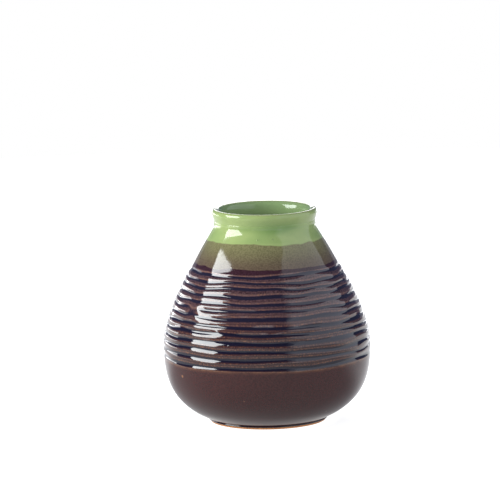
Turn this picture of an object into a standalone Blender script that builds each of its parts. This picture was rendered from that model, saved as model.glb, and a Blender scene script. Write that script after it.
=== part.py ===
"""Ceramic gourd cup for mate: an empty pear-shaped pot, turned in one piece, with ribs combed round it."""

import math

import bpy
import numpy as np

# Driving sizes of the whole cup, in metres
HEIGHT = 0.1035
BELLY_RADIUS = 0.05015
BELLY_HEIGHT = 0.0391
SHOULDER_RADIUS = 0.0366
SHOULDER_HEIGHT = 0.075
SHOULDER_LEAN = 0.60  # metres inwards for each metre upwards
NECK_RADIUS = 0.0246
NECK_HEIGHT = 0.0976
BELLY_WALL = 0.0046
NECK_WALL = 0.0037
FLOOR_HEIGHT = 0.0062

# Rolled lip
BULGE_RADIUS = 0.02535
BULGE_HEIGHT = 0.1016
CREST_RADIUS = 0.02375
MOUTH_RADIUS = 0.0221
MOUTH_HEIGHT = 0.1015

# Turned foot ring, and the shallow hollow that it leaves under the floor
FOOT_JOIN_RADIUS = 0.0289
FOOT_JOIN_HEIGHT = 0.0019
FOOT_JOIN_SLOPE = math.radians(24.6)
FOOT_RADIUS = 0.028
CREASE_DEPTH = 0.0009
FOOT_EDGE_HEIGHT = 0.0006
REST_OUTER_RADIUS = 0.0273
REST_INNER_RADIUS = 0.0247
HOLLOW_RADIUS = 0.0236
HOLLOW_HEIGHT = 0.0018
HOLLOW_RISE = 0.0005

# Combed grooves, whose pitch widens down the belly
GROOVE_COUNT = 13
TOP_GROOVE_HEIGHT = 0.0753
TOP_PITCH = 0.00285
BOTTOM_PITCH = 0.0041
GROOVE_DEPTH = 0.0007
GROOVE_SHARPNESS = 3.0
GROOVE_SAMPLES = (-0.5, -0.22, 0.0, 0.22)

# Waver of the ribs, as a comb held in the hand leaves it
WAVER = 0.00016
WAVES_ROUND = (1, 2, 3, 5)
MOST_TWIST = 800.0  # radians for each metre of height
WAVER_FADE = 0.0018
WAVER_SEED = 7

# How finely the cup is divided
TURN_STEPS = 48
CURVE_STEPS = 200
SHOULDER_POINTS = 8
BELLY_POINTS = 8
INSIDE_POINTS = 13
FLOOR_POINTS = 6
MERGE_DISTANCE = 0.00001
SHARP_ANGLE = math.radians(50.0)

# Glaze colours, as linear red, green and blue, and the heights where one meets the next
GREEN_GLAZE = (0.28, 0.42, 0.17, 1.0)
OLIVE_GLAZE = (0.17, 0.15, 0.085, 1.0)
BROWN_GLAZE = (0.055, 0.030, 0.030, 1.0)
BARE_CLAY = (0.42, 0.19, 0.075, 1.0)
GREEN_EDGE_HEIGHT = 0.0894
OLIVE_EDGE_HEIGHT = 0.0783
CLAY_EDGE_HEIGHT = 0.0007
GLAZE_ROUGHNESS = 0.12
CLAY_ROUGHNESS = 0.75


def bezier(start, start_pull, end_pull, end, count):
    """Points (radius, height) along one cubic curve, ends included. A pull leads from an end to its handle."""
    corners = np.array([start, np.add(start, start_pull), np.add(end, end_pull), end])
    t = np.linspace(0.0, 1.0, count)[:, None]
    shares = [math.comb(3, i) * (1 - t) ** (3 - i) * t**i for i in range(4)]
    return sum(share * corner for share, corner in zip(shares, corners))


def smooth_wall():
    """Fine outline of the outer wall without its grooves, from the foot up to the neck's narrowest ring."""
    foot = (FOOT_JOIN_RADIUS, FOOT_JOIN_HEIGHT)
    belly = (BELLY_RADIUS, BELLY_HEIGHT)
    shoulder = (SHOULDER_RADIUS, SHOULDER_HEIGHT)
    neck = (NECK_RADIUS, NECK_HEIGHT)
    off_the_foot = 0.0199 * np.array([math.cos(FOOT_JOIN_SLOPE), math.sin(FOOT_JOIN_SLOPE)])
    up_the_shoulder = np.array([-SHOULDER_LEAN, 1.0])
    lower = bezier(foot, off_the_foot, (0.0, -0.0185), belly, CURVE_STEPS)
    middle = bezier(
        belly, (0.0, 0.0124), -0.0005 * up_the_shoulder, shoulder, CURVE_STEPS
    )
    upper = bezier(
        shoulder, 0.0212 * up_the_shoulder, (0.0, -0.0036), neck, CURVE_STEPS
    )
    return np.vstack([lower, middle[1:], upper[1:]])


def wall_radius(height, wall):
    """Radius of the smooth outer wall at a height."""
    return np.interp(height, wall[:, 1], wall[:, 0])


def wall_thickness(height):
    """Thickness of the wall, which thins evenly from the foot to the neck."""
    return BELLY_WALL + (NECK_WALL - BELLY_WALL) * height / NECK_HEIGHT


def groove_height(number):
    """Height of a groove counted from the top one, 0. Halves fall on the ribs between."""
    widening = (BOTTOM_PITCH - TOP_PITCH) / (2 * (GROOVE_COUNT - 1))
    return TOP_GROOVE_HEIGHT - TOP_PITCH * number - widening * number**2


def groove_depth(number):
    """Depth of the wall below its ribs, greatest at whole numbers."""
    return GROOVE_DEPTH * abs(math.cos(math.pi * number)) ** GROOVE_SHARPNESS


def ribbed_band(wall):
    """Outline of the combed band, from its top edge down to its bottom edge."""
    numbers = [k + part for k in range(GROOVE_COUNT) for part in GROOVE_SAMPLES]
    numbers.append(GROOVE_COUNT - 0.5)
    return [
        (wall_radius(groove_height(n), wall) - groove_depth(n), groove_height(n))
        for n in numbers
    ]


def plain_stretch(wall, top, bottom, count):
    """Outline of an uncombed stretch of the outer wall, from top to bottom, without its two ends."""
    heights = np.linspace(top, bottom, count + 2)[1:-1]
    return [(wall_radius(z, wall), z) for z in heights]


def inside_wall(wall):
    """Outline of the inside, from the end of the floor's curve up to the neck: the outer wall, moved in by its
    thickness square to itself."""
    along = np.gradient(wall, axis=0)
    along /= np.linalg.norm(along, axis=1)[:, None]
    inwards = np.column_stack([-along[:, 1], along[:, 0]])
    inside = wall + wall_thickness(wall[:, 1:]) * inwards
    heights = np.linspace(FLOOR_HEIGHT, NECK_HEIGHT, INSIDE_POINTS)
    return [[np.interp(z, wall[:, 1], side) for side in inside.T] for z in heights]


def floor_curve(end, following):
    """Outline of the inner floor: flat at the axis, then curved up until it runs into the wall."""
    heading = np.subtract(following, end)
    heading /= np.linalg.norm(heading)
    centre = (0.0, FLOOR_HEIGHT)
    return bezier(centre, (0.018, 0.0), -0.009 * heading, end, FLOOR_POINTS)


def lip():
    """Outline of the rolled lip, from the throat over the crest to the neck outside."""
    throat = (NECK_RADIUS - NECK_WALL, NECK_HEIGHT)
    mouth = (MOUTH_RADIUS, MOUTH_HEIGHT)
    crest = (CREST_RADIUS, HEIGHT)
    bulge = (BULGE_RADIUS, BULGE_HEIGHT)
    neck = (NECK_RADIUS, NECK_HEIGHT)
    inside = bezier(throat, (0.0, 0.0012), (-0.0006, -0.0015), mouth, 4)
    over = bezier(mouth, (0.0004, 0.0011), (-0.0009, 0.0), crest, 5)
    outside = bezier(crest, (0.0009, 0.0), (0.0, 0.0012), bulge, 5)
    below = bezier(bulge, (0.0, -0.0014), (0.0, 0.0014), neck, 4)
    return np.vstack([inside[1:], over[1:], outside[1:], below[1:]])


def foot():
    """Outline of the foot ring: a tight crease under the belly, a rounded edge, the resting flat, the hollow."""
    join = (FOOT_JOIN_RADIUS, FOOT_JOIN_HEIGHT)
    side = (FOOT_RADIUS, FOOT_JOIN_HEIGHT - CREASE_DEPTH)
    edge = (FOOT_RADIUS, FOOT_EDGE_HEIGHT)
    rest_outer = (REST_OUTER_RADIUS, 0.0)
    rest_inner = (REST_INNER_RADIUS, 0.0)
    hollow = (HOLLOW_RADIUS, HOLLOW_HEIGHT)
    crease = bezier(join, (-0.0006, -0.0003), (0.0, 0.0004), side, 4)
    rounding = bezier(edge, (0.0, -0.0004), (0.0004, 0.0), rest_outer, 4)
    rise = bezier(rest_inner, (-0.0006, 0.0), (0.0003, 0.0), hollow, 4)
    dome = [
        (HOLLOW_RADIUS * share, HOLLOW_HEIGHT + HOLLOW_RISE * (1 - share**2))
        for share in (0.66, 0.33, 0.0)
    ]
    return np.vstack([crease, rounding, rise, dome])


def outline(wall):
    """The whole turned profile: up the inside from the floor's centre, over the lip, down and under."""
    inside = inside_wall(wall)
    floor = floor_curve(inside[0], inside[1])
    band = ribbed_band(wall)
    band_top, band_bottom = band[0][1], band[-1][1]
    shoulder = plain_stretch(wall, NECK_HEIGHT, band_top, SHOULDER_POINTS)
    belly = plain_stretch(wall, band_bottom, FOOT_JOIN_HEIGHT, BELLY_POINTS)
    return np.vstack([floor[:-1], inside, lip(), shoulder, band, belly, foot()])


def turn(name, points, collection):
    """Mesh object made by turning the profile once about the Z axis."""
    profile = bpy.data.meshes.new(name + "_profile")
    edges = [(i, i + 1) for i in range(len(points) - 1)]
    profile.from_pydata([(radius, 0.0, height) for radius, height in points], edges, [])
    lathe = bpy.data.objects.new(name + "_profile", profile)
    collection.objects.link(lathe)
    screw = lathe.modifiers.new("turn", "SCREW")
    screw.axis = "Z"
    screw.angle = math.tau
    screw.steps = TURN_STEPS
    screw.render_steps = TURN_STEPS
    screw.use_merge_vertices = True
    screw.merge_threshold = MERGE_DISTANCE
    bpy.context.view_layer.update()
    evaluated = lathe.evaluated_get(bpy.context.evaluated_depsgraph_get())
    turned = bpy.data.objects.new(name, bpy.data.meshes.new_from_object(evaluated))
    turned.data.name = name
    collection.objects.link(turned)
    bpy.data.objects.remove(lathe)
    bpy.data.meshes.remove(profile)
    return turned


def places(items, attribute):
    """Positions of a mesh's vertices or faces, as one row of x, y and z each."""
    numbers = np.empty(3 * len(items))
    items.foreach_get(attribute, numbers)
    return numbers.reshape(-1, 3)


def outer_side(points, wall):
    """True for points on the outside of the wall, not on its inside."""
    radius = np.hypot(points[:, 0], points[:, 1])
    height = points[:, 2]
    return radius > wall_radius(height, wall) - wall_thickness(height) / 2


def let_ribs_waver(cup, wall):
    """Slides the combed wall up and down along itself by a few slow waves round the cup."""
    points = places(cup.data.vertices, "co")
    angle = np.arctan2(points[:, 1], points[:, 0])
    radius = np.hypot(points[:, 0], points[:, 1])
    height = points[:, 2]
    random = np.random.default_rng(WAVER_SEED)
    slide = np.zeros(len(points))
    for waves in WAVES_ROUND:
        start = random.uniform(0.0, math.tau)
        twist = random.uniform(-MOST_TWIST, MOST_TWIST)
        slide += WAVER * np.sin(waves * angle + start + twist * height)
    below_top = groove_height(-0.5) - height
    above_bottom = height - groove_height(GROOVE_COUNT - 0.5)
    within = np.minimum(below_top, above_bottom) / WAVER_FADE + 1.0
    slide *= np.clip(within, 0.0, 1.0) * outer_side(points, wall)
    radius += wall_radius(height + slide, wall) - wall_radius(height, wall)
    moved = np.column_stack([radius * np.cos(angle), radius * np.sin(angle), height + slide])
    cup.data.vertices.foreach_set("co", moved.ravel())
    cup.data.update()


def finish(name, colour, roughness):
    """Plain material of one glaze or of the bare clay."""
    material = bpy.data.materials.new(name)
    material.use_nodes = True
    shader = material.node_tree.nodes["Principled BSDF"]
    shader.inputs["Base Color"].default_value = colour
    shader.inputs["Roughness"].default_value = roughness
    shader.inputs["Metallic"].default_value = 0.0
    return material


def glaze(cup, wall):
    """Gives each face what covers it: green inside and round the neck, then olive, brown and bare clay."""
    finishes = (
        finish("brown_glaze", BROWN_GLAZE, GLAZE_ROUGHNESS),
        finish("olive_glaze", OLIVE_GLAZE, GLAZE_ROUGHNESS),
        finish("green_glaze", GREEN_GLAZE, GLAZE_ROUGHNESS),
        finish("bare_clay", BARE_CLAY, CLAY_ROUGHNESS),
    )
    cup.data.materials.clear()
    for material in finishes:
        cup.data.materials.append(material)
    brown, olive, green, clay = range(len(finishes))
    centres = places(cup.data.polygons, "center")
    height = centres[:, 2]
    underneath = height < (HOLLOW_HEIGHT + FLOOR_HEIGHT) / 2
    underneath &= np.hypot(centres[:, 0], centres[:, 1]) < REST_OUTER_RADIUS
    outside = outer_side(centres, wall) | underneath
    slot = np.where(outside, brown, green)
    slot[outside & (height > OLIVE_EDGE_HEIGHT)] = olive
    slot[outside & (height > GREEN_EDGE_HEIGHT)] = green
    slot[outside & (height < CLAY_EDGE_HEIGHT)] = clay
    cup.data.polygons.foreach_set("material_index", slot.astype(np.int32))


def main():
    for old in list(bpy.data.objects):
        bpy.data.objects.remove(old)
    collection = bpy.data.collections.new("mate_gourd_cup")
    bpy.context.scene.collection.children.link(collection)
    wall = smooth_wall()
    cup = turn("gourd_cup", outline(wall), collection)
    let_ribs_waver(cup, wall)
    glaze(cup, wall)
    cup.data.shade_smooth()
    cup.data.set_sharp_from_angle(angle=SHARP_ANGLE)


main()
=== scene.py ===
import math

import bpy
import numpy as np
from mathutils import Matrix, Vector


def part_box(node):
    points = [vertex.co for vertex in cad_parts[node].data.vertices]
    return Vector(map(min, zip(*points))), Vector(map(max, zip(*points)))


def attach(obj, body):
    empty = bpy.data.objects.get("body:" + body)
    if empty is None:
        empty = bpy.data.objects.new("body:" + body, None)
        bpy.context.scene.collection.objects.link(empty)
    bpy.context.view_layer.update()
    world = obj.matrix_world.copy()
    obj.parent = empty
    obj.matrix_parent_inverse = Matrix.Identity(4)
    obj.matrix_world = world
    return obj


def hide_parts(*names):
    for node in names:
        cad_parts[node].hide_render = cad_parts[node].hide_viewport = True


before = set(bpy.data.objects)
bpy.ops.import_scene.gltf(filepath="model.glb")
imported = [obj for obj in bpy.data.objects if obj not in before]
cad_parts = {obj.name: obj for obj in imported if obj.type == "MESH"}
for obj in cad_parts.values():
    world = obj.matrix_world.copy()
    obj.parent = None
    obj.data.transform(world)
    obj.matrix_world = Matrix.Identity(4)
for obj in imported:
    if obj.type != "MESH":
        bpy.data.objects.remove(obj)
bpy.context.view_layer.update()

# The cup: one piece of stoneware, turned on a wheel, with a low foot, a round belly and a narrow neck
# under a rolled lip. Its outline is points (radius, height above the table) in metres, on the solid's
# own curves, from the middle of the floor up, over the lip, down the outside and under the foot.
low_corner, high_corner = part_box("gourd_cup")
HEIGHT = high_corner.z
BELLY_RADIUS = min(high_corner.x, high_corner.y, -low_corner.x, -low_corner.y)
BELLY_HEIGHT = 0.0391
SHOULDER_RADIUS = 0.0366
SHOULDER_HEIGHT = 0.075
SHOULDER_LEAN = 0.60  # metres inwards for each metre upwards
NECK_RADIUS = 0.0246
NECK_HEIGHT = 0.0976
BELLY_WALL = 0.0046
NECK_WALL = 0.0037
FLOOR_HEIGHT = 0.0062
BULGE_RADIUS = 0.02535
BULGE_HEIGHT = 0.1016
CREST_RADIUS = 0.0239
MOUTH_RADIUS = 0.02105
MOUTH_HEIGHT = 0.1004
FOOT_JOIN_RADIUS = 0.0289
FOOT_JOIN_HEIGHT = 0.0019
FOOT_JOIN_SLOPE = math.radians(24.6)
SEAM_RADIUS = 0.02862
SEAM_HEIGHT = 0.00172
BEAD_RADIUS = 0.02885
BEAD_HEIGHT = 0.00128
BEAD_FOOT_RADIUS = 0.02835
BEAD_FOOT_HEIGHT = 0.00092
FOOT_RADIUS = 0.028
FOOT_EDGE_HEIGHT = 0.0006
REST_OUTER_RADIUS = 0.0273
REST_INNER_RADIUS = 0.0247
HOLLOW_RADIUS = 0.0236
HOLLOW_HEIGHT = 0.0018
HOLLOW_RISE = 0.0005
FINE_POINTS = 200  # on each curve that the rows of the grid are read from
INSIDE_ROWS = 20
FLOOR_POINTS = 9


def curve(start, start_pull, end_pull, end, count):
    """Points on one cubic Bezier curve, ends included: the two ends and their handles, weighed by
    (1-t)^3, 3(1-t)^2 t, 3(1-t) t^2 and t^3. A pull leads from an end to its handle."""
    corners = np.array([start, np.add(start, start_pull), np.add(end, end_pull), end])
    t = np.linspace(0.0, 1.0, count)[:, None]
    weights = np.hstack([(1 - t) ** 3, 3 * (1 - t) ** 2 * t, 3 * (1 - t) * t**2, t**3])
    return weights @ corners


# Where one curve of the outline meets the next. The pulls follow the outline that the photograph shows.
foot_join = (FOOT_JOIN_RADIUS, FOOT_JOIN_HEIGHT)
belly = (BELLY_RADIUS, BELLY_HEIGHT)
shoulder = (SHOULDER_RADIUS, SHOULDER_HEIGHT)
neck = (NECK_RADIUS, NECK_HEIGHT)
bulge = (BULGE_RADIUS, BULGE_HEIGHT)
crest = (CREST_RADIUS, HEIGHT)
mouth = (MOUTH_RADIUS, MOUTH_HEIGHT)
throat = (NECK_RADIUS - NECK_WALL, NECK_HEIGHT)
off_the_foot = 0.0199 * np.array([math.cos(FOOT_JOIN_SLOPE), math.sin(FOOT_JOIN_SLOPE)])
up_the_shoulder = np.array([-SHOULDER_LEAN, 1.0])
wall = np.vstack([
    curve(foot_join, off_the_foot, (0.0, -0.0185), belly, FINE_POINTS),
    curve(belly, (0.0, 0.0124), -0.0005 * up_the_shoulder, shoulder, FINE_POINTS)[1:],
    curve(shoulder, 0.0212 * up_the_shoulder, (0.0, -0.0036), neck, FINE_POINTS)[1:],
])
neck_and_lip = curve(neck, (0.0, 0.0014), (0.0, -0.0014), bulge, FINE_POINTS)
outside_line = np.vstack([wall, neck_and_lip[1:]])


def outside_radius(height):
    """Radius of the smooth outside at a height, read between the fine points of its line."""
    return np.interp(height, outside_line[:, 1], outside_line[:, 0])


# The inside is the outside moved in by the wall's thickness, square to itself. The floor curves up
# into it.
along = np.gradient(wall, axis=0)
along /= np.linalg.norm(along, axis=1)[:, None]
inwards = np.column_stack([-along[:, 1], along[:, 0]])
thickness = BELLY_WALL + (NECK_WALL - BELLY_WALL) * wall[:, 1:] / NECK_HEIGHT
lining = wall + thickness * inwards
inside_heights = np.linspace(FLOOR_HEIGHT, NECK_HEIGHT, INSIDE_ROWS)
inside = np.column_stack([np.interp(inside_heights, wall[:, 1], side) for side in lining.T])
floor_heading = (inside[1] - inside[0]) / np.linalg.norm(inside[1] - inside[0])
floor = curve((0.0, FLOOR_HEIGHT), (0.018, 0.0), -0.009 * floor_heading, inside[0], FLOOR_POINTS)

# The lip: from the throat to the mouth's edge, up to the crest and out over the bulge
lip = np.vstack([
    curve(throat, (0.0, 0.0016), (-0.00011, -0.0008), mouth, 7)[1:],
    curve(mouth, (0.0002, 0.0029), (-0.0006, 0.0), crest, 12)[1:],
    curve(crest, (0.0007, 0.0), (0.0, 0.0012), bulge, 9)[1:],
])

# The foot: under the seam a bead of glaze, the bare edge, the flat ring that the cup rests on, and the
# side of the hollow inside the ring
seam = (SEAM_RADIUS, SEAM_HEIGHT)
bead = (BEAD_RADIUS, BEAD_HEIGHT)
bead_foot = (BEAD_FOOT_RADIUS, BEAD_FOOT_HEIGHT)
foot_edge = (FOOT_RADIUS, FOOT_EDGE_HEIGHT)
rest_outer = (REST_OUTER_RADIUS, 0.0)
rest_inner = (REST_INNER_RADIUS, 0.0)
hollow_edge = (HOLLOW_RADIUS, HOLLOW_HEIGHT)
foot = np.vstack([
    curve(foot_join, (-0.00009, -0.00006), (0.00009, 0.00006), seam, 3),
    curve(seam, (0.00012, -0.00006), (0.0, 0.00016), bead, 6)[1:],
    curve(bead, (0.0, -0.00018), (0.0001, 0.00006), bead_foot, 5)[1:],
    curve(bead_foot, (-0.0001, -0.00006), (0.0, 0.0001), foot_edge, 4)[1:],
    curve(foot_edge, (0.0, -0.0004), (0.0004, 0.0), rest_outer, 6)[1:],
    curve(rest_inner, (-0.0006, 0.0), (0.0003, 0.0), hollow_edge, 6),
])

# The top of the hollow: a shallow dome, whose rows are given as shares of its radius
hollow_shares = np.array([0.75, 0.5, 0.25])
hollow = np.column_stack([
    HOLLOW_RADIUS * hollow_shares,
    HOLLOW_HEIGHT + HOLLOW_RISE * (1 - hollow_shares**2),
])

# The ribs: thirteen grooves combed into the soft clay while the pot turned. They stay level but waver
# in height, depth and width, and here and there two of them run together. Each has a slanted ledge
# below its middle, with a small step in it. A groove's number counts from the top.
GROOVE_COUNT = 13
TOP_GROOVE_HEIGHT = 0.0753
TOP_PITCH = 0.00285
BOTTOM_PITCH = 0.0041
PITCH_GROWTH = (BOTTOM_PITCH - TOP_PITCH) / (2 * (GROOVE_COUNT - 1))
GROOVE_DEPTH = 0.000336
LEDGE_SHARE = 0.477  # of a groove's width, its lower side
STEP_DEPTH = 0.00012
STEP_PLACES = (0.0, 0.13, 0.25, 0.62, 1.0)  # grooves below a groove's middle
STEP_SHARES = (0.7, 1.0, 0.0, 0.0, 0.7)  # of the step's depth, at those places
ROWS_TO_A_GROOVE = 14


def groove_height(number):
    """Height of a groove: the top one's, less a pitch for each one below it that grows evenly."""
    return TOP_GROOVE_HEIGHT - TOP_PITCH * number - PITCH_GROWTH * number**2


band_numbers = np.linspace(-0.5, GROOVE_COUNT - 0.5, ROWS_TO_A_GROOVE * GROOVE_COUNT + 1)
band_heights = groove_height(band_numbers)

# Rows of the grid down the outside: close together at the crease under the lip and in the ribs
CREASE_HEIGHT = 0.0979
ABOVE_CREASE = CREASE_HEIGHT + 0.0008
BELOW_CREASE = CREASE_HEIGHT - 0.0009
ROWS_ABOVE_RIBS = 24
ROWS_BELOW_RIBS = 24
wall_heights = np.concatenate([
    np.linspace(BULGE_HEIGHT, ABOVE_CREASE, 8)[1:],
    np.linspace(ABOVE_CREASE, BELOW_CREASE, 12)[1:],
    np.linspace(BELOW_CREASE, band_heights[0], ROWS_ABOVE_RIBS + 2)[1:-1],
    band_heights,
    np.linspace(band_heights[-1], FOOT_JOIN_HEIGHT, ROWS_BELOW_RIBS + 2)[1:-1],
])
outside = np.column_stack([outside_radius(wall_heights), wall_heights])
outline = np.vstack([floor[1:-1], inside, lip, outside, foot, hollow])
first_lip_row = len(floor[1:-1]) + len(inside)
first_wall_row = first_lip_row + len(lip)
wall_rows = slice(first_wall_row, first_wall_row + len(outside))

COLUMNS = 300
angle = np.linspace(0.0, math.tau, COLUMNS, endpoint=False)[None, :]
radius = np.repeat(outline[:, :1], COLUMNS, axis=1)
height = np.repeat(outline[:, 1:], COLUMNS, axis=1)

# Slow waver of the whole band, the same as the solid's
WAVER = 0.00016
WAVES_ROUND = np.array([1, 2, 3, 5])
MOST_TWIST = 800.0  # radians for each metre of height
WAVER_FADE = 0.0018
WAVER_SEED = 7


def slow_waver(angle, height):
    """Metres by which the ribs are slid up the wall: a few sine waves round the cup, each twisted with
    height, fading out just above and below the combed band."""
    draws = np.random.default_rng(WAVER_SEED).random((len(WAVES_ROUND), 2))
    slide = 0.0
    for waves, (start, twist) in zip(WAVES_ROUND, draws):
        turn = waves * angle + math.tau * start + MOST_TWIST * (2 * twist - 1) * height
        slide = slide + WAVER * np.sin(turn)
    edge = np.minimum(band_heights[0] - height, height - band_heights[-1])
    return slide * np.clip(edge / WAVER_FADE + 1.0, 0.0, 1.0)


def unevenness(angle, level, seed, waves, most_waves, levels_a_wave):
    """Smooth random field round the cup with a spread of about 1: a sum of sine waves with whole numbers
    of waves round the cup, each twisted at random up the levels."""
    random = np.random.default_rng(seed)
    field = 0.0
    for round_count in random.integers(1, most_waves + 1, waves):
        start = random.uniform(0.0, math.tau)
        twist = random.uniform(-math.tau, math.tau) / levels_a_wave
        field = field + np.sin(round_count * angle + start + twist * level)
    return field * math.sqrt(2.0 / waves)


# Places where grooves run together, in pairs, each as its angle from the front in degrees and its groove
# number. Between the two of a pair there is one groove more, or one fewer where the first is on the
# right.
FORKS = np.array([
    [[-56.0, 5.2], [-48.0, 5.3]],
    [[128.0, 6.3], [137.0, 6.2]],
    [[214.0, 3.5], [205.0, 3.4]],
])
FORK_SIZE = 0.6  # grooves
GROOVE_SPACING = 0.0034  # metres, about the middle of the band
FRONT = -math.pi / 2


def turn_from(angle, place):
    """Angle between -pi and pi by which another lies past a place, which is counted from the front."""
    return (angle - FRONT - place + math.pi) % math.tau - math.pi


def forked(angle, number):
    """Shift of the groove count, in grooves, which grows by one on a turn about one fork of each pair
    and falls by one about the other, and how whole the grooves are, which falls to 0 at each fork."""
    shift = 0.0
    whole = 1.0
    for pair in FORKS:
        middle = math.radians(pair[:, 0].mean())
        turn = turn_from(angle, middle)
        for sign, fork in zip((-1, 1), pair):
            right = (turn + middle - math.radians(fork[0])) * BELLY_RADIUS / GROOVE_SPACING
            below = number - fork[1]
            shift = shift + sign * np.arctan2(below, right) / math.tau
            whole = whole * (1 - np.exp(-(right**2 / 4 + below**2) / FORK_SIZE**2))
    return shift, whole


def sawtooth(turns):
    """Wave from 0 to 1 and back, 1 at whole turns: a cosine with a ninth of its third harmonic, which
    makes its sides straight. It falls in the first share of a turn, the groove's ledge, and rises in the
    rest."""
    part = turns % 1.0
    falling = 0.5 * part / LEDGE_SHARE
    rising = 0.5 + 0.5 * (part - LEDGE_SHARE) / (1.0 - LEDGE_SHARE)
    phase = math.tau * np.where(part < LEDGE_SHARE, falling, rising)
    return 0.5 + 0.45 * (np.cos(phase) + np.cos(3 * phase) / 9)


HIGH_WAVER = 0.069  # grooves, at the top of the band
LOW_WAVER = 0.053
WAVER_FALL = 8.0  # grooves over which the high waver falls to the low one
DEPTH_UNEVENNESS = 0.27
DEPTH_LIMITS = (0.4, 1.5)
BAND_FADE = 0.3  # grooves
first_band_row = wall_rows.stop - ROWS_BELOW_RIBS - len(band_heights)
band_rows = slice(first_band_row, first_band_row + len(band_heights))
number = np.repeat(band_numbers[:, None], COLUMNS, axis=1)
shift, whole = forked(angle, number)
waver = HIGH_WAVER + (LOW_WAVER - HIGH_WAVER) * np.clip(number / WAVER_FALL, 0.0, 1.0)
shift = shift + waver * unevenness(angle, number, seed=1156, waves=40, most_waves=14, levels_a_wave=3.0)
uneven_depth = 1 + DEPTH_UNEVENNESS * unevenness(
    angle, number, seed=644, waves=40, most_waves=12, levels_a_wave=2.5
)
edge_of_band = np.minimum(number + 0.5, GROOVE_COUNT - 0.5 - number)
combed = np.clip(edge_of_band / BAND_FADE, 0.0, 1.0)
part = (number + shift) % 1.0
groove = GROOVE_DEPTH * sawtooth(part) + STEP_DEPTH * np.interp(part, STEP_PLACES, STEP_SHARES)
groove = groove * whole * np.clip(uneven_depth, *DEPTH_LIMITS) * combed

wall_slide = slow_waver(angle, height[wall_rows])
radius[wall_rows] = outside_radius(height[wall_rows] + wall_slide)
height[wall_rows] += wall_slide
radius[band_rows] -= groove

# The comb pressed the edge of the smooth shoulder in a little, just above the first groove
EDGE_DIP = 0.0003
EDGE_DIP_REACH = 0.004
radius[wall_rows] -= EDGE_DIP * np.exp(-np.abs(height[wall_rows] - band_heights[0]) / EDGE_DIP_REACH)

# A low swell and faint rings that the potter's fingers left on the smooth shoulder, and the crease under
# the lip
SWELL = 0.00012
SWELL_HEIGHT = 0.0853
SWELL_REACH = 0.0053
RING_DEPTH = 0.000014
RING_SPACING = 0.004
RING_FADE = 0.003
CREASE_DEPTH = 0.00007
CREASE_WIDTH = 0.00028
CREASE_WAVER = 0.00012
radius[wall_rows] += SWELL * np.exp(-((height[wall_rows] - SWELL_HEIGHT) / SWELL_REACH) ** 2)
ring_level = height[wall_rows] / RING_SPACING
rings = unevenness(angle, ring_level, seed=21, waves=14, most_waves=3, levels_a_wave=1.0)
above_ribs = np.clip((height[wall_rows] - band_heights[0]) / RING_FADE, 0.0, 1.0)
radius[wall_rows] -= RING_DEPTH * above_ribs * (1 + np.clip(rings / 2, -1, 1))
crease_waver = unevenness(angle, 0.0, seed=22, waves=8, most_waves=9, levels_a_wave=1.0)
crease_line = CREASE_HEIGHT + CREASE_WAVER * crease_waver
from_crease = (height[wall_rows] - crease_line) / CREASE_WIDTH
radius[wall_rows] -= CREASE_DEPTH * np.exp(-(from_crease**2))

# How the glaze lies: thick in the grooves and round the foot, and thin over every edge. A groove's pool
# ends sharply under the edge above it and fades out down the ledge below. The glaze is thin along a line
# just below each rib's crest, and in the lower ribs along one just above it too.
POOL_FADES = (0.08, 0.28)  # grooves below a groove's middle
POOL_ENDS = (0.18, 0.28)  # grooves above it
POOL_AT_FORKS = 0.35
EDGE_PLACE = 0.64  # grooves below a groove's middle
EDGE_WIDTH = 0.09
SECOND_EDGE_PLACE = 0.34
SECOND_EDGE_WIDTH = 0.06
SECOND_EDGE_SHARE = 0.8
LOW_RIBS = (4.0, 8.0)  # numbers of the grooves between which the lower ribs begin
LOW_GLAZE_LAG = 0.09  # grooves by which all of this lies lower in the lower ribs
RIB_GLAZE_FADE = 0.12  # grooves
LAST_EDGE_NUMBER = GROOVE_COUNT - 0.56
LAST_EDGE_WIDTH = 0.07
LAST_EDGE_SHARE = 0.7
CREST_WIDTH = 0.00035
CREST_SHARE = 0.9
FOOT_GLAZE_HEIGHT = 0.0016
# Painted shade: the inside and this many rows of the lip's inner face get a darker green
SHADED_LIP_ROWS = 12  # rows of the lip that the darker green of the inside reaches


def ramp(value, start, end):
    """Smooth rise from 0 to 1 between two values: 3s^2 - 2s^3 of the share s of the way."""
    share = np.clip((value - start) / (end - start), 0.0, 1.0)
    return share**2 * (3 - 2 * share)


ribbed = np.zeros_like(radius)
pooled = np.zeros_like(radius)
broken = np.zeros_like(radius)
thin = np.zeros_like(radius)
inner = np.zeros_like(radius)
ribbed[band_rows] = np.clip(edge_of_band / RIB_GLAZE_FADE, 0.0, 1.0)
low_ribs = np.clip((number - LOW_RIBS[0]) / (LOW_RIBS[1] - LOW_RIBS[0]), 0.0, 1.0)
glaze_part = (part - LOW_GLAZE_LAG * low_ribs) % 1.0
pool_above = ramp(glaze_part, 1 - POOL_ENDS[1], 1 - POOL_ENDS[0])
pooled[band_rows] = 1 - ramp(glaze_part, *POOL_FADES) + pool_above
pooled[band_rows] *= POOL_AT_FORKS + (1 - POOL_AT_FORKS) * whole
broken[band_rows] = np.exp(-(((glaze_part - EDGE_PLACE) / EDGE_WIDTH) ** 2))
second_edge = np.exp(-(((glaze_part - SECOND_EDGE_PLACE) / SECOND_EDGE_WIDTH) ** 2))
broken[band_rows] += SECOND_EDGE_SHARE * second_edge * low_ribs
last_edge = np.exp(-(((number - LAST_EDGE_NUMBER) / LAST_EDGE_WIDTH) ** 2))
thin[band_rows] = LAST_EDGE_SHARE * last_edge
on_crest = np.exp(-(((outline[:, 1:] - HEIGHT) / CREST_WIDTH) ** 2))
thin += CREST_SHARE * on_crest * (outline[:, 1:] > MOUTH_HEIGHT)
on_foot = (outline[:, 1] < FOOT_GLAZE_HEIGHT) & (outline[:, 0] > REST_OUTER_RADIUS)
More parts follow.
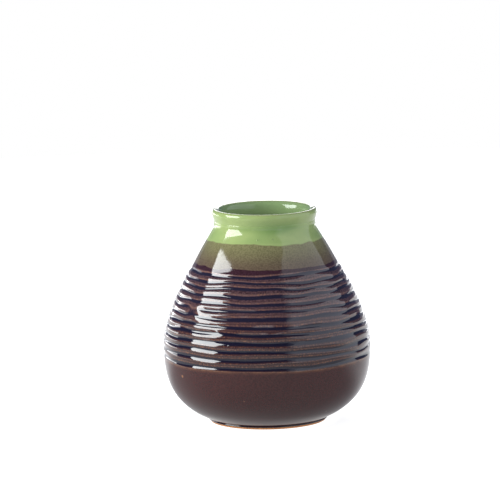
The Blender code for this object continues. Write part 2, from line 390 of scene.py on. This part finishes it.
pooled[on_foot] = 1.0
ribbed[on_foot] = 1.0
# Painted shade of the hollow: the inside and the lip's inner face are marked for a darker green
inner[: first_lip_row + SHADED_LIP_ROWS] = 1.0

# Clouds of darker, bluer green that drift faintly over the neck, and painted shade in the same green:
# the largest cloud, under the crease a little right of the front, and the drift made stronger under the
# lip
SHADE_CLOUD_HEIGHT = 0.0967
SHADE_CLOUD_PLACE = math.radians(17.0)
SHADE_CLOUD_TURN = 0.48  # radians
SHADE_CLOUD_REACH = 0.0032
SHADE_CLOUD_SHARE = 0.85
DRIFT_LEVEL = 0.004
DRIFT_SHARE = 0.10
SHADE_DRIFT_UNDER_LIP = 0.25
UNDER_LIP_FOOT = 0.0905
UNDER_LIP_TOP = (0.0965, 0.0985)
across_shade_cloud = turn_from(angle, SHADE_CLOUD_PLACE) / SHADE_CLOUD_TURN
up_shade_cloud = (height - SHADE_CLOUD_HEIGHT) / SHADE_CLOUD_REACH
shade_cloud = np.exp(-(across_shade_cloud**2) - up_shade_cloud**2)
drift_level = height / DRIFT_LEVEL
drift = unevenness(angle, drift_level, seed=31, waves=20, most_waves=7, levels_a_wave=1.5)
drift = np.clip(0.5 + 0.5 * drift, 0.0, 1.0)
under_lip = (height > UNDER_LIP_FOOT) * (1 - ramp(height, *UNDER_LIP_TOP))
clouds_and_shade = SHADE_CLOUD_SHARE * shade_cloud + (DRIFT_SHARE + SHADE_DRIFT_UNDER_LIP * under_lip) * drift
clouds_and_shade = np.clip(clouds_and_shade, 0.0, 1.0)

# The grid, closed round the cup, with one pole in the middle of the floor and one under the foot
places = np.stack([
    radius * np.cos(angle),
    radius * np.sin(angle),
    height,
], axis=-1).reshape(-1, 3)
poles = np.array([[0.0, 0.0, FLOOR_HEIGHT], [0.0, 0.0, HOLLOW_HEIGHT + HOLLOW_RISE]])
corners = np.vstack([places, poles])
row_count = len(outline)
corner_number = np.arange(row_count * COLUMNS).reshape(row_count, COLUMNS)
next_column = np.roll(corner_number, -1, axis=1)
quads = np.stack([
    corner_number[:-1],
    corner_number[1:],
    next_column[1:],
    next_column[:-1],
], axis=-1).reshape(-1, 4)
floor_pole = np.full(COLUMNS, len(places))
under_pole = floor_pole + 1
floor_fan = np.column_stack([floor_pole, corner_number[0], next_column[0]])
under_fan = np.column_stack([corner_number[-1], under_pole, next_column[-1]])
cup_mesh = bpy.data.meshes.new("glazed_cup")
cup_mesh.from_pydata(corners.tolist(), [], quads.tolist() + floor_fan.tolist() + under_fan.tolist())
fields = {
    "ribbed": ribbed,
    "pooled": pooled,
    "broken": broken,
    "thin": thin,
    "inner": inner,
    "clouds_and_shade": clouds_and_shade,
}
for name, field in fields.items():
    cup_mesh.attributes.new(name, "FLOAT", "POINT")
    ends = [field[0].mean(), field[-1].mean()]
    cup_mesh.attributes[name].data.foreach_set("value", np.append(field.ravel(), ends))
cup_mesh.shade_smooth()
cup = bpy.data.objects.new("glazed_cup", cup_mesh)
bpy.context.scene.collection.objects.link(cup)


def new_material(name):
    """New material, with its node tree and its Principled shader."""
    material = bpy.data.materials.new(name)
    material.use_nodes = True
    return material, material.node_tree, material.node_tree.nodes["Principled BSDF"]


def lay(tree, kind, inputs, **choices):
    """Adds a node to a tree. Its inputs are numbers, colours or other nodes' outputs, and its choices
    are the node's own settings."""
    node = tree.nodes.new("ShaderNode" + kind)
    for name, choice in choices.items():
        setattr(node, name, choice)
    for name, value in inputs.items():
        if isinstance(value, bpy.types.NodeSocket):
            tree.links.new(value, node.inputs[name])
        else:
            node.inputs[name].default_value = value
    return node


def sum_up(tree, operation, *values):
    """Output of one sum on two values or three."""
    return lay(tree, "Math", dict(enumerate(values)), operation=operation).outputs[0]


def plus(tree, first, second):
    """One value with another added to it."""
    return sum_up(tree, "ADD", first, second)


def times(tree, first, second):
    """One value multiplied by another."""
    return sum_up(tree, "MULTIPLY", first, second)


def between(tree, value, low, high):
    """Mask that rises smoothly from 0 to 1 as a value goes from low to high."""
    inputs = {"Value": value, "From Min": low, "From Max": high}
    return lay(tree, "MapRange", inputs, interpolation_type="SMOOTHSTEP").outputs["Result"]


def blend(tree, share, under, over, kind="MIX"):
    """Colour made by laying one colour over another by a share."""
    mix = lay(tree, "Mix", {0: share, 6: under, 7: over}, data_type="RGBA", blend_type=kind)
    return mix.outputs[2]


def mottle(tree, place, scale, detail=1.0, roughness=0.5):
    """Cloudy pattern from 0 to 1 with about one cloud for each 1/scale metres."""
    inputs = {"Vector": place, "Scale": scale, "Detail": detail, "Roughness": roughness}
    return lay(tree, "TexNoise", inputs).outputs["Fac"]


def field_of(tree, name):
    """Value that the cup's mesh holds under a name."""
    return lay(tree, "Attribute", {}, attribute_name=name).outputs["Fac"]


def away_from(tree, place, spot):
    """Distance of a place from a spot, in metres."""
    return lay(tree, "VectorMath", {0: place, 1: spot}, operation="DISTANCE").outputs["Value"]


def emboss(tree, shader, relief):
    """Tilts a material's shading as a relief on it would, whose height is in metres."""
    bump = lay(tree, "Bump", {"Strength": 1.0, "Distance": 1.0, "Height": relief})
    tree.links.new(bump.outputs["Normal"], shader.inputs["Normal"])


# The grain of the fired clay: specks about as large as sand, which darken a glaze that lies over them
# and stand out on bare clay
SPECK_ENDS = (0.42, 0.60)  # of the cloudy pattern, where a speck begins and where it is whole


def make_grain():
    """Node group that takes a place and a fineness, and gives a mask of specks and the height of
    their tips."""
    group = bpy.data.node_groups.new("clay_grain", "ShaderNodeTree")
    for name, kind in (("Place", "NodeSocketVector"), ("Fineness", "NodeSocketFloat")):
        group.interface.new_socket(name, in_out="INPUT", socket_type=kind)
    for name in ("Specks", "Tips"):
        group.interface.new_socket(name, in_out="OUTPUT", socket_type="NodeSocketFloat")
    given = group.nodes.new("NodeGroupInput").outputs
    result = group.nodes.new("NodeGroupOutput").inputs
    noise = mottle(group, given["Place"], given["Fineness"], detail=2.0, roughness=0.6)
    group.links.new(noise, result["Tips"])
    group.links.new(between(group, noise, *SPECK_ENDS), result["Specks"])
    return group


clay_grain = make_grain()


def grain(tree, place, fineness):
    """The clay's grain in a material, as its specks and tips."""
    node = tree.nodes.new("ShaderNodeGroup")
    node.node_tree = clay_grain
    tree.links.new(place, node.inputs["Place"])
    node.inputs["Fineness"].default_value = fineness
    return node.outputs["Specks"], node.outputs["Tips"]


# The glazes: green inside and round the neck, olive where it runs over the brown, and brown from the
# ribs down. The brown turns blue-black where it lies thick and rust where it breaks thin over an edge.
GREEN_EDGE_HEIGHT = 0.08945
GREEN_EDGE_BLUR = 0.0003
OLIVE_EDGE_HEIGHT = 0.07835
OLIVE_EDGE_BLUR = 0.00015
EDGE_WANDER = 0.0032  # metres between the lowest and the highest that one edge can lie
WANDERS_A_METRE = 75.0
HIGH_BROWNS = (0.046, 0.062)  # heights between which the low browns turn into the high ones
CLOUDS_A_METRE = 260.0
SPECKS_A_METRE = 1500.0
RIB_SPECKS_A_METRE = 1700.0
GREEN = (0.29, 0.355, 0.13, 1.0)
GREEN_SHADE = (0.24, 0.315, 0.115, 1.0)
# A darker green painted on the inside of the cup, as shade of the hollow
INSIDE_SHADE_GREEN = (0.19, 0.27, 0.115, 1.0)
# A darker, bluer green for the drifting clouds and for the painted shade under the lip
CLOUD_AND_SHADE_GREEN = (0.145, 0.235, 0.070, 1.0)
OLIVE_TOP = (0.170, 0.160, 0.072, 1.0)
OLIVE_FOOT = (0.105, 0.074, 0.046, 1.0)
SMOOTH_BROWN = (0.0455, 0.011, 0.010, 1.0)
SMOOTH_SPECK = (0.018, 0.0045, 0.0045, 1.0)
SHOULDER_BROWN = (0.034, 0.0125, 0.018, 1.0)
RIB_BROWN_HIGH = (0.078, 0.040, 0.041, 1.0)
RIB_BROWN_LOW = (0.032, 0.010, 0.010, 1.0)
RIB_SPECK = (0.020, 0.008, 0.008, 1.0)
RIB_EDGE_HIGH = (0.155, 0.090, 0.076, 1.0)
RIB_EDGE_LOW = (0.098, 0.048, 0.038, 1.0)
THICK_HIGH = (0.010, 0.008, 0.018, 1.0)
THICK_LOW = (0.005, 0.004, 0.012, 1.0)
RUST = (0.30, 0.13, 0.055, 1.0)
THIN_GREEN = (0.20, 0.155, 0.065, 1.0)

# How strongly each kind of speck and thin place shows, and from where to where of its pattern it grows
OLIVE_SPECK_SHARE = 0.30
SMOOTH_SPECK_SHARE = 0.60
RIB_SPECK_SHARE = 0.9
RUST_SHARE = 0.6
THIN_SHARE = 0.5
PALE_GRAINS = (0.42, 0.58)  # of the grain's tips
RUSTY_GRAINS = (0.55, 0.62)
THIN_CLOUDS = (0.25, 0.6)  # of the clouds
THICK_ENDS = (0.20, 0.80)  # of how far the glaze has pooled
RAGGEDNESS = 0.5
RAGS_A_METRE = 700.0

# One fleck of rust, a few small blisters in the glaze, and pimples here and there
FLECK = (-0.0407, -0.0279, 0.0268)
FLECK_EDGE = 0.0009
FLECK_CORE = 0.0003
FLECK_SHARE = 0.8
BLISTERS = [(-0.0181, -0.0458, 0.0445), (-0.0037, -0.0262, 0.0918), (0.0035, -0.0261, 0.0921)]
BLISTER_RADIUS = 0.0007
BLISTER_HEIGHT = 0.00022
PIMPLE_CELLS_A_METRE = 180.0
CELLS_WITHOUT = 0.955  # of all the cells, the share with no pimple
PIMPLE_EDGE = 0.085  # cells
PIMPLE_TOP = 0.03
PIMPLE_HEIGHT = 0.00012
PIMPLE_SHARE = 0.4

# The glaze's gloss, with a glassier coat on the ribs, and its faint peel and grain
LEAST_ROUGH = 0.03
MOST_ROUGH = 0.08
RIB_COAT = 0.25
PEEL_HEIGHT = 0.000018
DIMPLES_A_METRE = 260.0
GRAIN_HEIGHT = 0.000006


def rib_colour(tree, place, high, tips):
    """Colour of the brown glaze on the ribs: specked brown, with pale and rusty grains where it is
    broken over an edge, and blue-black where it has pooled, out to a ragged limit."""
    specks, fine_tips = grain(tree, place, RIB_SPECKS_A_METRE)
    ribs = blend(tree, high, RIB_BROWN_LOW, RIB_BROWN_HIGH)
    ribs = blend(tree, times(tree, specks, RIB_SPECK_SHARE), ribs, RIB_SPECK)
    on_edges = field_of(tree, "broken")
    pale = times(tree, on_edges, between(tree, fine_tips, *PALE_GRAINS))
    ribs = blend(tree, pale, ribs, blend(tree, high, RIB_EDGE_LOW, RIB_EDGE_HIGH))
    rusty = times(tree, on_edges, between(tree, tips, *RUSTY_GRAINS))
    ribs = blend(tree, times(tree, rusty, RUST_SHARE), ribs, RUST)
    rags = mottle(tree, place, RAGS_A_METRE, detail=2.0)
    ragged = sum_up(tree, "MULTIPLY_ADD", rags, RAGGEDNESS, -RAGGEDNESS / 2)
    thick = plus(tree, field_of(tree, "pooled"), ragged)
    return blend(tree, between(tree, thick, *THICK_ENDS), ribs, blend(tree, high, THICK_LOW, THICK_HIGH))


def glaze_cover(tree, level, edge_height, blur):
    """Mask of a glaze that covers the inside, and the outside down to an edge."""
    outside_cover = between(tree, level, edge_height - blur, edge_height + blur)
    return sum_up(tree, "MAXIMUM", outside_cover, field_of(tree, "inner"))


def pimple_mask(tree, place):
    """Mask of pimples: the middles of a few of the cells that the space about the cup is parted into."""
    cells = lay(tree, "TexVoronoi", {"Vector": place, "Scale": PIMPLE_CELLS_A_METRE})
    middles = between(tree, cells.outputs["Distance"], PIMPLE_EDGE, PIMPLE_TOP)
    draw = lay(tree, "SeparateColor", {"Color": cells.outputs["Color"]}).outputs["Red"]
    return times(tree, middles, sum_up(tree, "GREATER_THAN", draw, CELLS_WITHOUT))


def glaze_the_cup():
    """Material of the glazes, banded by height above the table and by how thick the glaze lies."""
    material, tree, shader = new_material("running_glaze")
    place = lay(tree, "TexCoord", {}).outputs["Object"]
    level = lay(tree, "SeparateXYZ", {"Vector": place}).outputs["Z"]
    specks, tips = grain(tree, place, SPECKS_A_METRE)
    clouds = mottle(tree, place, CLOUDS_A_METRE, detail=2.0)
    pimples = pimple_mask(tree, place)

    green = blend(tree, clouds, GREEN_SHADE, GREEN)
    # the darker green of the clouds and of the painted shade under the lip
    green = blend(tree, field_of(tree, "clouds_and_shade"), green, CLOUD_AND_SHADE_GREEN)
    # painted shade: a darker green on the inside of the cup
    green = blend(tree, field_of(tree, "inner"), green, INSIDE_SHADE_GREEN)
    up_the_olive = between(tree, level, OLIVE_EDGE_HEIGHT, GREEN_EDGE_HEIGHT)
    olive = blend(tree, up_the_olive, OLIVE_FOOT, OLIVE_TOP)
    olive = blend(tree, times(tree, specks, OLIVE_SPECK_SHARE), olive, OLIVE_FOOT, "MULTIPLY")
    high = between(tree, level, *HIGH_BROWNS)
    brown = blend(tree, high, SMOOTH_BROWN, SHOULDER_BROWN)
    brown = blend(tree, times(tree, specks, SMOOTH_SPECK_SHARE), brown, SMOOTH_SPECK)
    brown = blend(tree, field_of(tree, "ribbed"), brown, rib_colour(tree, place, high, tips))

    wander = mottle(tree, place, WANDERS_A_METRE, detail=2.0)
    wander = sum_up(tree, "MULTIPLY_ADD", wander, EDGE_WANDER, -EDGE_WANDER / 2)
    wandering = plus(tree, level, wander)
    green_cover = glaze_cover(tree, wandering, GREEN_EDGE_HEIGHT, GREEN_EDGE_BLUR)
    olive_cover = glaze_cover(tree, wandering, OLIVE_EDGE_HEIGHT, OLIVE_EDGE_BLUR)
    colour = blend(tree, olive_cover, brown, olive)
    colour = blend(tree, green_cover, colour, green)
    thinness = times(tree, field_of(tree, "thin"), between(tree, clouds, *THIN_CLOUDS))
    thin_colour = blend(tree, green_cover, RUST, THIN_GREEN)
    colour = blend(tree, times(tree, thinness, THIN_SHARE), colour, thin_colour)
    colour = blend(tree, times(tree, pimples, PIMPLE_SHARE), colour, RUST)
    fleck = between(tree, away_from(tree, place, FLECK), FLECK_EDGE, FLECK_CORE)
    colour = blend(tree, times(tree, fleck, FLECK_SHARE), colour, RUST)
    tree.links.new(colour, shader.inputs["Base Color"])

    rough = lay(tree, "MapRange", {"Value": clouds, "To Min": LEAST_ROUGH, "To Max": MOST_ROUGH})
    tree.links.new(rough.outputs["Result"], shader.inputs["Roughness"])
    tree.links.new(times(tree, field_of(tree, "ribbed"), RIB_COAT), shader.inputs["Coat Weight"])
    relief = times(tree, tips, GRAIN_HEIGHT)
    relief = plus(tree, relief, times(tree, pimples, PIMPLE_HEIGHT))
    for blister in BLISTERS:
        dome = between(tree, away_from(tree, place, blister), BLISTER_RADIUS, 0.0)
        relief = plus(tree, relief, times(tree, dome, BLISTER_HEIGHT))
    peel = times(tree, mottle(tree, place, DIMPLES_A_METRE), PEEL_HEIGHT)
    emboss(tree, shader, plus(tree, peel, relief))
    return material


# The bare clay: a thin line round the foot and the ring that it rests on, wiped clean of glaze before
# the cup was fired, so it is matt and sandy
CLAY = (0.62, 0.27, 0.09, 1.0)
CLAY_SPECK = (0.34, 0.14, 0.05, 1.0)
CLAY_ROUGHNESS = 0.8
CLAY_SPECKS_A_METRE = 1900.0
SAND_HEIGHT = 0.00004
CLAY_EDGE_HEIGHT = 0.00095
CLAY_INNER_RADIUS = HOLLOW_RADIUS + 0.0003


def bare_the_clay():
    """Material of the unglazed clay."""
    material, tree, shader = new_material("bare_clay")
    shader.inputs["Roughness"].default_value = CLAY_ROUGHNESS
    place = lay(tree, "TexCoord", {}).outputs["Object"]
    specks, tips = grain(tree, place, CLAY_SPECKS_A_METRE)
    tree.links.new(blend(tree, specks, CLAY, CLAY_SPECK), shader.inputs["Base Color"])
    emboss(tree, shader, times(tree, tips, SAND_HEIGHT))
    return material


cup_mesh.materials.append(glaze_the_cup())
cup_mesh.materials.append(bare_the_clay())
row_is_bare = (outline[:, 1] < CLAY_EDGE_HEIGHT) & (outline[:, 0] > CLAY_INNER_RADIUS)
bare = np.repeat(row_is_bare[:-1, None] & row_is_bare[1:, None], COLUMNS, axis=1).ravel()
covering = np.zeros(len(cup_mesh.polygons), dtype=np.int32)
covering[: len(bare)] = bare
cup_mesh.polygons.foreach_set("material_index", covering)
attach(cup, "root")
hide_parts("gourd_cup")

# The table: a white light table, large enough to fill the mirror of the glaze. It glows from below, more
# behind the cup and close round its foot, and a little more for the camera alone, so that it is seen as
# plain white.
TABLE_RADIUS = 0.95
TABLE_SIDES = 96
TABLE_ROUGHNESS = 0.9
TABLE_GREY = (0.35, 0.35, 0.35, 1.0)
TABLE_GLOW = 0.29
TABLE_GLOW_BEHIND = 0.6
BEHIND = (0.0, 0.07)  # metres back from the cup's middle, between which the glow behind grows
BEHIND_SLANT = 0.3  # metres nearer for each metre to the right
TABLE_GLOW_AT_FOOT = 0.3
AT_FOOT = (0.036, 0.029)  # metres from the cup's middle, between which the glow at the foot grows
TABLE_GLOW_SEEN = 0.55


def light_the_table():
    """Material of the table: a matt sheet that light comes through."""
    material, tree, shader = new_material("white_board")
    shader.inputs["Base Color"].default_value = TABLE_GREY
    shader.inputs["Roughness"].default_value = TABLE_ROUGHNESS
    shader.inputs["Specular IOR Level"].default_value = 0.0
    shader.inputs["Emission Strength"].default_value = 1.0
    place = lay(tree, "TexCoord", {}).outputs["Object"]
    steps = lay(tree, "SeparateXYZ", {"Vector": place}).outputs
    back = plus(tree, steps["Y"], times(tree, steps["X"], BEHIND_SLANT))
    behind = between(tree, back, *BEHIND)
    at_foot = between(tree, away_from(tree, place, (0.0, 0.0, 0.0)), *AT_FOOT)
    seen = lay(tree, "LightPath", {}).outputs["Is Camera Ray"]
    glow = sum_up(tree, "MULTIPLY_ADD", behind, TABLE_GLOW_BEHIND, TABLE_GLOW)
    glow = plus(tree, glow, times(tree, at_foot, TABLE_GLOW_AT_FOOT))
    glow = plus(tree, glow, times(tree, seen, TABLE_GLOW_SEEN))
    tree.links.new(glow, shader.inputs["Emission Color"])
    return material


bpy.ops.mesh.primitive_circle_add(vertices=TABLE_SIDES, radius=TABLE_RADIUS, fill_type="NGON")
table = bpy.context.object
table.name = "table"
table.data.materials.append(light_the_table())

# The light: a soft box, a panel and boards round the cup, which the glaze mirrors, and a fill light,
# which it doesn't. Each is a rectangle that faces the cup, given by its middle, the edge across it and
# the edge up it, in metres.
WHITE = (1.0, 1.0, 1.0)
BOX_WHITE = (0.96, 1.0, 1.0)
FRONT_WHITE = (0.97, 0.96, 1.0)
PANEL_BLUE = (0.88, 0.93, 1.0)
PANEL_EDGE_BLUE = (0.86, 0.93, 1.0)


def soft_light(name, middle, across, upwards, brightness, colour):
    """Rectangle of light that faces the cup. Its brightness is what a mirror image of it has."""
    lamp = bpy.data.lights.new(name, "AREA")
    lamp.shape = "RECTANGLE"
    lamp.size, lamp.size_y = Vector(across).length, Vector(upwards).length
    lamp.energy = brightness * math.pi * lamp.size * lamp.size_y
    lamp.color = colour
    light = bpy.data.objects.new(name, lamp)
    side = Vector(across).normalized()
    back = side.cross(Vector(upwards)).normalized()
    if back.dot(Vector(middle)) < 0:
        side, back = -side, -back
    turned = Matrix((side, back.cross(side), back)).transposed()
    light.matrix_world = Matrix.Translation(middle) @ turned.to_4x4()
    light.visible_camera = False
    bpy.context.scene.collection.objects.link(light)
    return light


def board(name, middle, across, height, brightness, colour):
    """Upright rectangle of light."""
    soft_light(name, middle, across, (0.0, 0.0, height), brightness, colour)


# A bright soft box on the left leans back
box_across = (0.138, -0.425, 0.056)
box_upwards = (0.372, 0.168, 0.360)
soft_light("left_soft_box", (-0.684, -0.174, 0.282), box_across, box_upwards, 12.0, BOX_WHITE)

# A large dim panel on the right, whose near edge fades out in two steps
board("right_panel", (0.769, -0.22, 0.60), (0.40, 1.394, 0.0), 1.2, 1.14, PANEL_BLUE)
board("panel_edge", (0.553, -0.975, 0.60), (0.033, 0.115, 0.0), 1.2, 0.7, PANEL_EDGE_BLUE)
board("panel_fringe", (0.520, -1.090, 0.60), (0.033, 0.115, 0.0), 1.2, 0.35, PANEL_EDGE_BLUE)

# Low boards in front, behind and on the left, mirrored where the cup curves under or away. Those behind
# and on the left are dimmer at the top.
board("front_board", (0.15, -1.2, 0.055), (1.7, 0.0, 0.0), 0.11, 1.4, FRONT_WHITE)
board("backdrop", (-0.04, 0.9, 0.04), (1.24, 0.0, 0.0), 0.08, 2.4, WHITE)
board("backdrop_top", (-0.04, 0.9, 0.16), (1.6, 0.0, 0.0), 0.16, 0.3, WHITE)
board("left_board", (-0.595, 0.535, 0.0375), (0.31, 0.34, 0.0), 0.075, 5.0, WHITE)
board("left_board_top", (-0.595, 0.535, 0.1075), (0.31, 0.34, 0.0), 0.065, 1.5, WHITE)

# A back light that shows as a mirror image alone, along the lip, and a fill light from the front that
# has none
back_light = soft_light("back_light", (0.0, 0.9, 0.46), (0.4, 0.0, 0.0), (0.0, -0.1, 0.42), 3.6, WHITE)
back_light.visible_diffuse = False
fill_upwards = (-0.04, 0.55, 0.83)
fill_light = soft_light("fill_light", (0.1, -1.3, 0.9), (1.0, 0.08, 0.0), fill_upwards, 3.6, WHITE)
fill_light.visible_glossy = False

# The room: dark blue, so the glaze mirrors it as dark, and white behind the cup for the camera alone
ROOM = (0.08, 0.10, 0.19, 1.0)
ROOM_SEEN = (1.0, 1.0, 1.0, 1.0)
room = bpy.data.worlds.new("room")
room.use_nodes = True
room_tree = room.node_tree
seen = lay(room_tree, "LightPath", {}).outputs["Is Camera Ray"]
room_tree.links.new(
    blend(room_tree, seen, ROOM, ROOM_SEEN),
    room_tree.nodes["Background"].inputs["Color"],
)
bpy.context.scene.world = room
bpy.context.scene.view_settings.view_transform = "Standard"

# The camera: far off with a long lens, a little above the lip, as the photograph shows the cup. It is
# rolled by about a degree. The picture is square, and pixels count from its top left corner.
PICTURE_SIDE = 500.0
SENSOR_WIDTH = 36.0
CAMERA_DISTANCE = 2.4
BASE_SEEN_FROM = math.radians(10.9)
PIXELS_A_METRE = 2070.0
BASE_PIXEL = (268.4, 418.75)
RIM_PIXEL = (264.25, 207.7)
camera_data = bpy.data.cameras.new("camera")
camera = bpy.data.objects.new("camera", camera_data)
bpy.context.scene.collection.objects.link(camera)
bpy.context.scene.camera = camera
camera.location = (0.0, -CAMERA_DISTANCE, CAMERA_DISTANCE * math.tan(BASE_SEEN_FROM))
cup_middle = Vector((0.0, 0.0, HEIGHT / 2))
lens_pixels = PIXELS_A_METRE * (camera.location - cup_middle).length
roll = -math.atan2(BASE_PIXEL[0] - RIM_PIXEL[0], BASE_PIXEL[1] - RIM_PIXEL[1])

# Where it looks, so that the middle of the base falls on its pixel: right and up are that pixel's steps
# from the picture's middle, as shares of the lens's length, and level_right and level_up are the same
# with the roll taken out
right = (BASE_PIXEL[0] - PICTURE_SIDE / 2) / lens_pixels
up = (PICTURE_SIDE / 2 - BASE_PIXEL[1]) / lens_pixels
level_right = right * math.cos(roll) - up * math.sin(roll)
level_up = right * math.sin(roll) + up * math.cos(roll)
reach = math.sqrt(1 + level_right**2 + level_up**2)
down = math.atan(level_up) + math.asin(
    reach * math.sin(BASE_SEEN_FROM) / math.sqrt(1 + level_up**2)
)
swing = math.asin(level_right / (reach * math.cos(BASE_SEEN_FROM)))
pose = (
    Matrix.Rotation(swing, 3, "Z")
    @ Matrix.Rotation(math.pi / 2 - down, 3, "X")
    @ Matrix.Rotation(roll, 3, "Z")
)
camera.rotation_euler = pose.to_euler()
camera_data.sensor_width = SENSOR_WIDTH
camera_data.lens = lens_pixels * SENSOR_WIDTH / PICTURE_SIDE
camera_data.clip_start = 0.1
camera_data.clip_end = 50.0
